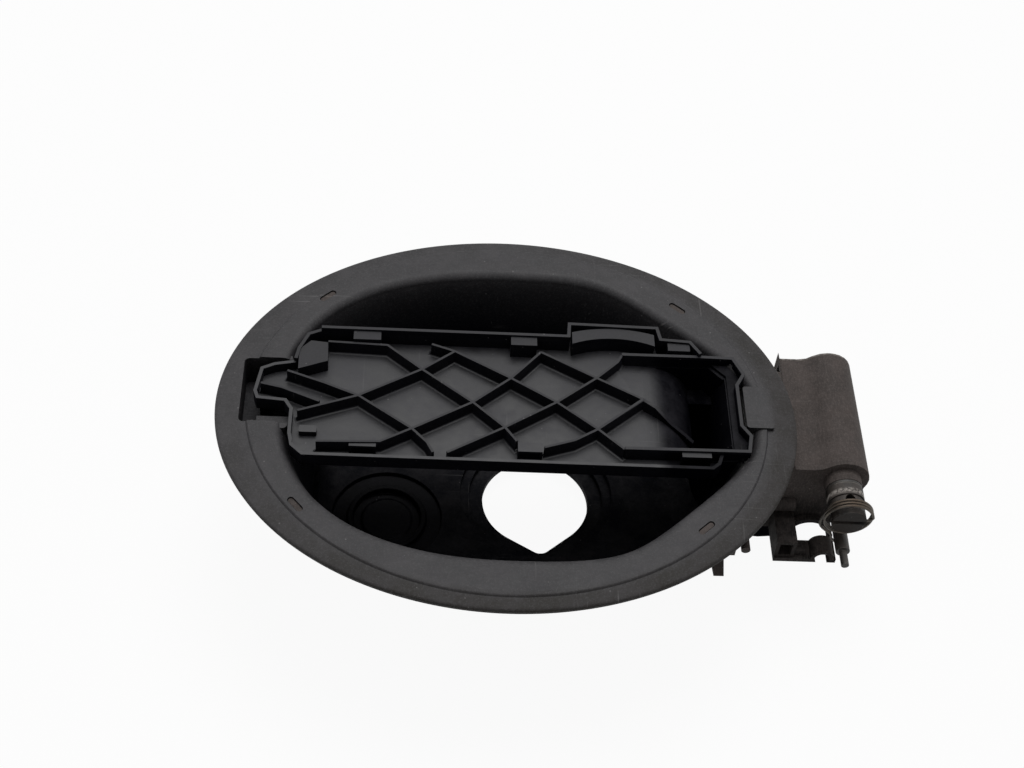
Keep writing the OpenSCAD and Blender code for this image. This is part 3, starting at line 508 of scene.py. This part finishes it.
# A copy of a hard node with its places reshaped, its edges softened and its own finish
def dressed(node, name, material, width, reshape=None, cuts=(), grow=()):
    source = nodes[node]
    mesh = bpy.data.meshes.new(name)
    work = bmesh.new()
    work.from_mesh(source.data)
    bmesh.ops.remove_doubles(work, verts=work.verts, dist=copying["mergeMetres"])
    if reshape:  # the merged triangles are moved before they are joined into faces
        places = reshape(np.array([v.co[:] for v in work.verts]) / mm) * mm
        for v, place in zip(work.verts, places):
            v.co = place
    bmesh.ops.dissolve_limit(work, angle_limit=math.radians(copying["flatAngle"]), verts=work.verts,
                             edges=work.edges)
    work.to_mesh(mesh)
    work.free()
    obj = bpy.data.objects.new(name, mesh)
    bpy.context.scene.collection.objects.link(obj)
    combine(obj, cuts, "DIFFERENCE")
    combine(obj, grow, "UNION")
    softEdges(obj, width, copying["sharpAngle"])
    smoothed(obj, material, copying["sharpAngle"])
    evenNormals(obj)
    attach(obj, source["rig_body"])
    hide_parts(node)


# The soft pocket: its opening, leaning wall, filleted floor and the oval flange round it. A ring of the step
# is how much wider it is than the land, and how far it lies below
pocket = {"openA": 97.25, "openB": 74.0, "x": 4.75, "y": 2.5, "power": 2.4,
          "flats": ((-47.0, 83.0), (50.0, 84.3)), "flatSoft": 24.0,
          "depth": 70.0, "wall": 2.4, "draft": 13.0, "lip": 4.0, "fillet": 12.0,
          "floorShift": 5.0, "floorRim": 6.0, "around": 288, "filletRings": 9, "wallShares": (0.85, 0.1, 8),
          "flange": (240.0, 193.4), "land": (214.0, 181.0), "landShares": (0.25, 0.5, 0.75, 0.96),
          "flangeY": 1.8, "flangeT": 3.4, "step": ((0.0, 0.15), (0.5, 0.45), (1.2, 0.9)),
          "bandShares": (0.3, 0.6, 0.85), "bandInset": 4.0, "bandFall": 0.35,
          "edgeR": 1.2, "edgeAngles": (90, -60, 7), "edgeDrop": 2.0, "edgeT": 2.6, "backFall": 0.3,
          "rootR": 1.0, "rootDrop": 4.0, "midDraft": 0.5, "midDepth": 0.45,
          "edgeWidth": 0.35, "sharpAngle": 40.0}
neck = {"filler": (17.0, 10.0), "fillerR": 23.7, "apexR": 5.0, "reach": 23.0, "toward": (0.075, -0.997),
        "boreR": 31.0, "boreLip": 1.0, "seat": 5.0, "dishR": 34.0, "dishStep": 3.0,
        "bigSides": 80, "smallSides": 18,
        "blank": (-49.0, -5.0), "blankR": 24.2, "blankHoleR": 18.0, "blankStep": 4.0, "relief": (3.0, 4.0),
        "collar": 3.0, "restZ": -84.0, "overlap": 0.2}
nose = {"x0": -109.9, "x1": -92.5, "y0": -9.0, "y1": 24.7, "z": -16.4, "wall": 2.6, "behind": 2.5,
        "top": -1.2, "round": 2.0, "noseY": 1.5, "noseSide": 4.2, "open": 9.0, "shelfX": 6.8, "shelfY": 4.0,
        "ledge": -5.0, "ledgeX": 5.0, "ledgeY": 3.0, "ledgeRound": 1.6}
stopPad = {"x": (98.5, 110.0), "y": (-4.5, 17.5), "high": 0.8, "sunk": 0.4, "round": 1.2}
armSlot = {"x": (83.0, 112.0), "y": (-7.5, 27.0), "low": -66.0, "under": 0.5, "round": 2.0}
slots = {"angles": (138.0, 45.0, 216.0, 317.5), "chord": 2.0, "length": 8.2, "width": 2.8, "share": 0.6,
         "endSides": 13}
past = 1.0  # how far a cutter passes the face it opens
clear = 10.0  # how far a cutter stands above what it cuts


# A ring round the opening, grown by g: a superellipse, whose radius is divided by the flatSoft-th root of one
# plus, for each of its two flats, the flatSoft-th power of how far out the point lies as a share of that flat
def openingRing(t, g):
    c, s = np.cos(t), np.sin(t)
    x = pocket["x"] + (pocket["openA"] + g) * np.sign(c) * np.abs(c) ** (2 / pocket["power"])
    y = pocket["y"] + (pocket["openB"] + g) * np.sign(s) * np.abs(s) ** (2 / pocket["power"])
    total = np.ones_like(x)
    for direction, distance in pocket["flats"]:
        d = math.radians(direction)
        reach = np.maximum(0, x * math.cos(d) + y * math.sin(d)) / (distance + g)
        total = total + reach ** pocket["flatSoft"]
    k = total ** (-1 / pocket["flatSoft"])
    return x * k, y * k


# An ellipse of width w and depth d about the flange's centre
def ovalRing(t, w, d):
    return w / 2 * np.cos(t), pocket["flangeY"] + d / 2 * np.sin(t)


# A point of the land: the given share of the way from the lip's ring to the land's oval at the same angle
def landRing(t, share):
    xo, yo = openingRing(t, pocket["lip"])
    xe, ye = ovalRing(t, *pocket["land"])
    return xo + (xe - xo) * share, yo + (ye - yo) * share


# The pocket's section carried round the opening: each ring is a growth of the opening or a width of the oval,
# at its height, and the deeper an opening's ring lies, the more it shifts towards the far side
def pocketRings():
    p = pocket
    t = np.linspace(0, 2 * np.pi, p["around"], endpoint=False)
    quarter = np.radians(np.linspace(0, 90, p["filletRings"]))
    rings = []

    def ring(place, z):
        rings.append(np.column_stack([*place, np.full_like(t, z)]))

    def opening(g, z):
        x, y = openingRing(t, g)
        ring((x, y + p["floorShift"] * max(0.0, -z - p["lip"]) / (p["depth"] - p["lip"])), z)

    # inside: floor, fillet, leaning wall and lip
    floorG = -p["draft"] - p["fillet"]
    opening(floorG - p["floorRim"], -p["depth"])
    for a in quarter:
        opening(floorG + p["fillet"] * math.sin(a), -p["depth"] + p["fillet"] * (1 - math.cos(a)))
    for share in np.linspace(*p["wallShares"]):
        opening(-p["draft"] * share, -p["depth"] * share)
    for a in quarter:
        opening(p["lip"] * (1 - math.cos(a)), -p["lip"] * (1 - math.sin(a)))
    # flange: land, low step and the outer band that falls away to a round edge
    w, d = p["land"]
    fullW, fullD = p["flange"]
    for share in p["landShares"]:
        ring(landRing(t, share), 0.0)
    for wider, drop in p["step"]:
        ring(ovalRing(t, w + wider, d + wider), -drop)
    for share in p["bandShares"]:
        ring(ovalRing(t, w + wider + (fullW - p["bandInset"] - w) * share,
                      d + wider + (fullD - p["bandInset"] - d) * share), -drop - p["bandFall"] * share)
    r = p["edgeR"]
    for a in np.radians(np.linspace(*p["edgeAngles"])):
        wide = 2 * r * (math.cos(a) - 1)
        ring(ovalRing(t, fullW + wide, fullD + wide), -p["edgeDrop"] - r / 2 + r * math.sin(a))
    ring(ovalRing(t, fullW - r, fullD - r), -p["edgeDrop"] - p["edgeT"])
    ring(ovalRing(t, w, d), -p["flangeT"] - p["backFall"])
    # outside of the pocket
    opening(p["wall"] + p["rootR"], -p["flangeT"])
    opening(p["wall"], -p["flangeT"] - p["rootDrop"])
    opening(p["wall"] - p["draft"] * p["midDraft"], -p["depth"] * p["midDepth"])
    for a in quarter[::-1]:
        opening(p["wall"] + floorG + p["fillet"] * math.sin(a),
                -p["depth"] - p["wall"] + p["fillet"] * (1 - math.cos(a)))
    return np.stack(rings)


# Two arcs joined by their common tangents: the filler opening and the round apex before it. The tangents
# touch where the angle from the line of centres has the cosine (big radius - small radius) / distance
def teardropOutline():
    n = neck
    centre = np.array(n["filler"])
    apex = centre + n["reach"] * np.array(n["toward"])
    d = np.linalg.norm(apex - centre)
    heading = math.degrees(math.atan2(*(apex - centre)[::-1]))
    lean = math.degrees(math.acos((n["fillerR"] - n["apexR"]) / d))
    big = arc(*centre, n["fillerR"], heading + lean, heading + 360 - lean, n["bigSides"])
    small = arc(*apex, n["apexR"], heading - lean, heading + lean, n["smallSides"])
    return np.concatenate([big, small])


def landPoint(degrees):
    x, y = landRing(np.radians(np.array([degrees])), slots["share"])
    return np.array([x[0], y[0]])


# A long hole with round ends through the land, along the flange at the given angle
def slotCutter(angle):
    centre = landPoint(angle)
    along = landPoint(angle + slots["chord"]) - landPoint(angle - slots["chord"])
    turn = math.degrees(math.atan2(along[1], along[0]))
    half = (slots["length"] - slots["width"]) / 2
    direction = np.array([math.cos(math.radians(turn)), math.sin(math.radians(turn))])
    ends = [arc(*(centre + direction * half), slots["width"] / 2, turn - 90, turn + 90, slots["endSides"]),
            arc(*(centre - direction * half), slots["width"] / 2, turn + 90, turn + 270, slots["endSides"])]
    return prism("cutter", np.concatenate(ends), -clear, clear)


def makePocket():
    body = ringObject("pocketMoulding", pocketRings()[::-1])
    n, q = neck, nose
    floor, low, over = -pocket["depth"], n["restZ"] - past, -pocket["depth"] + clear
    grow = [disc(n["filler"], n["dishR"] + n["collar"], n["restZ"], floor - n["overlap"]),
            disc(n["blank"], n["blankR"] + n["collar"], n["restZ"], floor - n["overlap"]),
            roundedBox("recessWall", (q["x0"] - q["wall"], q["x1"] + q["behind"]),
                       (q["y0"] - q["wall"], q["y1"] + q["wall"]),
                       (q["z"] - q["wall"], q["top"]), q["round"]),
            roundedBox("stopPad", stopPad["x"], stopPad["y"],
                       (-pocket["flangeT"] + stopPad["sunk"], stopPad["high"]), stopPad["round"])]
    combine(body, grow, "UNION")
    cuts = [roundedBox("cutter", (q["x0"], q["x1"] + q["open"]), (q["noseY"] - q["noseSide"], q["y1"]),
                       (q["z"], clear), q["round"]),
            roundedBox("cutter", (q["x0"], q["x0"] + q["shelfX"]), (q["y0"], q["noseY"] + q["shelfY"]),
                       (q["z"], clear), q["round"]),
            roundedBox("cutter", (q["x0"] + q["ledgeX"], q["x1"] + q["open"]),
                       (q["y0"], q["noseY"] + q["ledgeY"]), (q["ledge"], clear), q["ledgeRound"]),
            roundedBox("cutter", armSlot["x"], armSlot["y"],
                       (armSlot["low"], -pocket["flangeT"] - armSlot["under"]), armSlot["round"]),
            disc(n["filler"], n["dishR"], floor - n["dishStep"], over),
            disc(n["filler"], n["boreR"] - n["boreLip"], floor - 2 * n["dishStep"], over),
            prism("cutter", teardropOutline(), low, over),
            disc(n["filler"], n["boreR"], low, n["restZ"] + n["seat"]),
            disc(n["blank"], n["blankR"], floor - n["blankStep"], over),
            disc(n["blank"], n["blankHoleR"], low, over),
            disc(n["blank"], n["blankHoleR"] + n["relief"][0], low, n["restZ"] + n["relief"][1])]
    cuts += [slotCutter(angle) for angle in slots["angles"]]
    combine(body, cuts, "DIFFERENCE")
    softEdges(body, pocket["edgeWidth"], pocket["sharpAngle"])
    smoothed(body, softMaterial, pocket["sharpAngle"])
    evenNormals(body)
    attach(body, "housing")
    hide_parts("soft_pocket")


makePocket()
print("pocket made", flush=True)

# The flap carrier's lattice thins to its real 1 mm at the top and flows into the floor. A rib is a path of
# points, as shares of the tray's length and depth
lattice = {"x": -88.8, "y": -26.2, "long": 145.8, "deep": 64.6, "ribs": (
    ((0.018, 0.327), (0.184, 0.466), (0.361, 0.701), (0.454, 0.864)),
    ((0.075, 0.09), (0.25, 0.104), (0.337, 0.215), (0.506, 0.443), (0.615, 0.653), (0.703, 0.884)),
    ((0.436, 0.036), (0.596, 0.249), (0.744, 0.467), (0.861, 0.68), (0.925, 0.823), (0.939, 0.884)),
    ((0.706, 0.101), (0.79, 0.164), (0.857, 0.259), (0.99, 0.517)),
    ((-0.019, 0.651), (0.089, 0.559), (0.184, 0.466), (0.337, 0.215), (0.38, 0.11), (0.397, 0.033)),
    ((0.09, 0.909), (0.26, 0.895), (0.361, 0.701), (0.506, 0.443), (0.596, 0.249), (0.629, 0.141)),
    ((0.387, 0.918), (0.454, 0.864), (0.615, 0.653), (0.744, 0.467), (0.857, 0.259), (0.928, 0.107)),
    ((0.703, 0.884), (0.861, 0.68), (0.99, 0.517)),
    ((-0.09, 0.542), (-0.03, 0.51), (0.077, 0.408))),
    # each level of a rib's side: half width and height as built, then half width and height as moulded
    "levels": ((0.8, 2.6, 0.5, 2.6), (0.8, -2.9, 0.72, -2.75), (1.35, -2.9, 0.8, -3.15),
               (1.35, -3.45, 0.92, -3.42), (1.9, -3.45, 1.15, -3.65), (1.9, -3.8, 1.5, -3.8)),
    "same": 0.03, "beyond": 2.2, "turned": 0.2, "farthest": 1.6}
leftBar = {"x": (-85.2, -78.0), "y": (-13.2, -9.8), "z": (-4.4, -1.0), "round": 0.5,
           "roomX": (-87.4, -77.4), "roomY": (-20.4, -11.6), "roomZ": (-3.79, 4.0), "edgeWidth": 0.2}


# A point that lies at a rib's half width from its middle line moves square to the line, to the moulded half
# width. Where the sides of two ribs meet, it moves to the crossing of both shifted lines: the place whose
# distances along both normals are the new ones
def slimRibs(places):
    q = lattice
    paths = [np.array(rib) * (q["long"], q["deep"]) + (q["x"], q["y"]) for rib in q["ribs"]]
    start, end = np.concatenate([p[:-1] for p in paths]), np.concatenate([p[1:] for p in paths])
    length = np.linalg.norm(end - start, axis=1)
    along = (end - start) / length[:, None]
    normal = np.column_stack([-along[:, 1], along[:, 0]])
    offset = places[:, None, :2] - start[None]
    reach = np.einsum("vsk,sk->vs", offset, along)
    side = np.einsum("vsk,sk->vs", offset, normal)
    beside = (reach > -q["beyond"]) & (reach < length[None] + q["beyond"])
    out = places.copy()
    for half, z, newHalf, newZ in q["levels"]:
        level = np.abs(places[:, 2] - z) < q["same"]
        near = (np.abs(np.abs(side) - half) < q["same"]) & beside & level[:, None]
        hit = np.nonzero(near.any(axis=1))[0]
        first = near[hit].argmax(axis=1)
        turned = np.abs(normal[first] @ along.T) * near[hit]
        lines = np.stack([first, turned.argmax(axis=1)], axis=1)
        goal = np.sign(side[hit[:, None], lines]) * newHalf + (normal[lines] * start[lines]).sum(axis=2)
        short = goal[:, 0] - (normal[first] * places[hit, :2]).sum(axis=1)
        moved = places[hit, :2] + normal[first] * short[:, None]
        cross = turned.max(axis=1) > q["turned"]
        moved[cross] = np.linalg.solve(normal[lines[cross]], goal[cross][..., None])[..., 0]
        kept = np.linalg.norm(moved - places[hit, :2], axis=1) < q["farthest"]
        out[hit[kept], :2] = moved[kept]
        out[hit[kept], 2] = newZ
    return out


def makeCarrier():
    b = leftBar
    room = box("cutter", b["roomX"], b["roomY"], b["roomZ"])
    bar = roundedBox("bar", b["x"], b["y"], b["z"], b["round"])
    dressed("flap_carrier", "flapCarrier", hardMaterial, b["edgeWidth"], reshape=slimRibs, cuts=(room,),
            grow=(bar,))


makeCarrier()
print("flap carrier made", flush=True)

# The hinge frame loses its far upper corner, and its far cheek reaches further down
hingeFrame = {"corner": ((110.0, 34.0), (119.6, 34.0), (119.6, 56.0), (103.0, 56.0), (103.0, 44.0)),
              "cornerZ": (-34.0, -3.0), "apronX": (104.2, 122.0), "apronY": (43.2, 47.8),
              "apronZ": (-71.0, -50.0), "edgeWidth": 0.5}
# The other hard pieces: name, finish and the width of the softened edges
hardPieces = {"blanking_plug": ("blankingPlug", hardMaterial, 0.3),
              "near_bush": ("nearBush", bushMaterial, 0.2),
              "far_bush": ("farBush", bushMaterial, 0.2),
              "spring_peg": ("springPeg", bushMaterial, 0.25),
              "line_bracket": ("lineBracket", dustyMaterial, 0.3),
              "hinge_axle": ("hingeAxle", axleMaterial, 0.35),
              "axle_clip": ("axleClip", steelMaterial, 0.1)}


def makeHardPieces():
    h = hingeFrame
    corner = prism("cutter", h["corner"], *h["cornerZ"])
    apron = box("apron", h["apronX"], h["apronY"], h["apronZ"])
    dressed("carrier_frame", "hingeFrame", dustyMaterial, h["edgeWidth"], cuts=(corner,), grow=(apron,))
    for node, (name, material, width) in hardPieces.items():
        dressed(node, name, material, width)


makeHardPieces()
print("hard pieces made", flush=True)

# The torsion spring winds about the axle's head, from its slot out to the peg. The ends are given as bends:
# tailBends from the axle and the coil's radius, legBends from the peg
spring = {"x": 142.0, "y": -33.4, "z": -22.0, "coilR": 10.0, "wire": 1.15, "pitch": 1.45, "turns": 2.4,
          "startAngle": 12.0, "lift": 0.2, "slotX": 4.0,
          "tailBends": ((4.0, 0.0), (1.2, 0.3)), "tailSteps": 6,
          "pegX": 142.5, "pegZ": -38.5, "pegR": 3.0, "legX": 0.6, "legZ": 9.0,
          "hookBends": ((1.6, 1.5), (0.7, -1.6)), "hookEnd": (1.4, 1.0), "legSteps": 8,
          "sides": 20, "perTurn": 48, "sharpAngle": 60.0}


# A smooth curve through the given points, each span the cubic that passes its two ends in the direction of
# their neighbours
def smoothPath(points, perSpan):
    pts = np.asarray(points, float)
    ext = np.vstack([2 * pts[0] - pts[1], pts, 2 * pts[-1] - pts[-2]])
    p0, p1, p2, p3 = (ext[k:len(ext) - 3 + k, None] for k in range(4))
    u = np.linspace(0, 1, perSpan, endpoint=False)[None, :, None]
    curve = 0.5 * ((2 * p1) + (p2 - p0) * u + (2 * p0 - 5 * p1 + 4 * p2 - p3) * u ** 2
                   + (3 * p1 - p0 - 3 * p2 + p3) * u ** 3)
    return np.vstack([curve.reshape(-1, 3), pts[-1:]])


# A round wire along a path: rings square to the path, each point the path's plus the radius times the cosine
# along one side and the sine along the other
def wireRings(path, radius, sides):
    tangent = np.gradient(path, axis=0)
    tangent /= np.linalg.norm(tangent, axis=1)[:, None]
    side = np.cross(tangent, np.cross(np.array([0.0, 1.0, 0.0]), tangent))
    side /= np.linalg.norm(side, axis=1)[:, None]
    other = np.cross(tangent, side)
    a = np.linspace(0, 2 * np.pi, sides, endpoint=False)
    return (path[:, None, :] + radius * (np.cos(a)[None, :, None] * side[:, None, :]
                                         + np.sin(a)[None, :, None] * other[:, None, :]))


# The coil is a helix: round the axle by the angle, and along it by the pitch for each turn
def makeSpring():
    s = spring
    a = np.radians(np.linspace(s["startAngle"], s["turns"] * 360, int(s["perTurn"] * s["turns"])))
    coil = np.column_stack([s["x"] + s["coilR"] * np.cos(a),
                            s["y"] - s["wire"] * s["lift"] + s["pitch"] * a / (2 * np.pi),
                            s["z"] + s["coilR"] * np.sin(a)])
    last = s["y"] + s["turns"] * s["pitch"]
    tail = [(s["x"] - s["slotX"], s["y"], s["z"])]
    tail += [(s["x"] + s["coilR"] - inward, s["y"], s["z"] + up) for inward, up in s["tailBends"]]
    leg = [(s["pegX"] - s["coilR"] - s["legX"], last, s["pegZ"] + s["legZ"])]
    leg += [(s["pegX"] - s["pegR"] - gap, last, s["pegZ"] + up) for gap, up in s["hookBends"]]
    leg += [(s["pegX"] - s["hookEnd"][0], last, s["pegZ"] - s["pegR"] - s["hookEnd"][1])]
    start = smoothPath([*tail, coil[0]], s["tailSteps"])[:-1]
    end = smoothPath([coil[-1], *leg], s["legSteps"])[1:]
    path = np.concatenate([start, coil, end])
    obj = ringObject("torsionSpring", wireRings(path, s["wire"] / 2, s["sides"]))
    smoothed(obj, steelMaterial, s["sharpAngle"])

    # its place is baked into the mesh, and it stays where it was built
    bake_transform(obj)
    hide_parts("torsion_spring")


makeSpring()
print("spring made", flush=True)

# Floor, lamps and sky: sizes and places in metres, apart from the floor's height and its gap below the part
studio = {"floorZ": -84.0, "floorGap": 0.2, "floorSize": 6.0, "floorWhite": 0.94, "floorTone": 0.9,
          "floorRough": 0.9, "lampAim": (0, 0, -0.02), "world": 0.22}
lamps = [{"name": "skyBank", "size": 1.0, "energy": 13.0, "place": (0.1, 0.42, 1.4)},
         {"name": "leftBank", "size": 0.7, "energy": 0.8, "place": (-1.2, 0.35, 0.9)}]


# The given share of plain white for the camera and for what mirrors or lets light through; the rest, and all
# other light, comes from the surface
def whiteFor(tree, surface, share):
    path = tree.nodes.new("ShaderNodeLightPath")
    seen = maths(tree, "MAXIMUM", path.outputs["Is Camera Ray"],
                 maths(tree, "MAXIMUM", path.outputs["Is Glossy Ray"], path.outputs["Is Transmission Ray"]))
    glow = tree.nodes.new("ShaderNodeEmission")
    mixed = tree.nodes.new("ShaderNodeMixShader")
    tree.links.new(times(tree, seen, share), mixed.inputs[0])
    tree.links.new(surface, mixed.inputs[1])
    tree.links.new(glow.outputs[0], mixed.inputs[2])
    return mixed.outputs[0]


def makeFloor():
    half, z = studio["floorSize"] / 2, (studio["floorZ"] - studio["floorGap"]) * mm
    corners = [(-half, -half, z), (half, -half, z), (half, half, z), (-half, half, z)]
    floor = meshObject("studioFloor", corners, [(0, 1, 2, 3)])
    mat = bpy.data.materials.new("studioFloor")
    mat.use_nodes = True
    tree = mat.node_tree
    shader = tree.nodes["Principled BSDF"]
    shader.inputs["Base Color"].default_value = (*[studio["floorTone"]] * 3, 1)
    shader.inputs["Roughness"].default_value = studio["floorRough"]
    white = whiteFor(tree, shader.outputs[0], studio["floorWhite"])
    tree.links.new(white, tree.nodes["Material Output"].inputs[0])
    floor.data.materials.append(mat)


def makeLamps():
    for lamp in lamps:
        data = bpy.data.lights.new(lamp["name"], "AREA")
        data.shape = "DISK"
        data.size = lamp["size"]
        data.energy = lamp["energy"]
        obj = bpy.data.objects.new(lamp["name"], data)
        obj.location = lamp["place"]
        heading = Vector(studio["lampAim"]) - Vector(lamp["place"])
        obj.rotation_euler = heading.to_track_quat("-Z", "Y").to_euler()
        bpy.context.scene.collection.objects.link(obj)


def makeSky():
    world = bpy.data.worlds.new("studioSky")
    bpy.context.scene.world = world
    world.use_nodes = True
    tree = world.node_tree
    ground = tree.nodes["Background"]
    ground.inputs["Color"].default_value = (1, 1, 1, 1)
    ground.inputs["Strength"].default_value = studio["world"]
    tree.links.new(whiteFor(tree, ground.outputs[0], 1.0), tree.nodes["World Output"].inputs[0])


makeFloor()
makeLamps()
makeSky()
bpy.context.scene.view_settings.view_transform = "Standard"
print("studio made", flush=True)
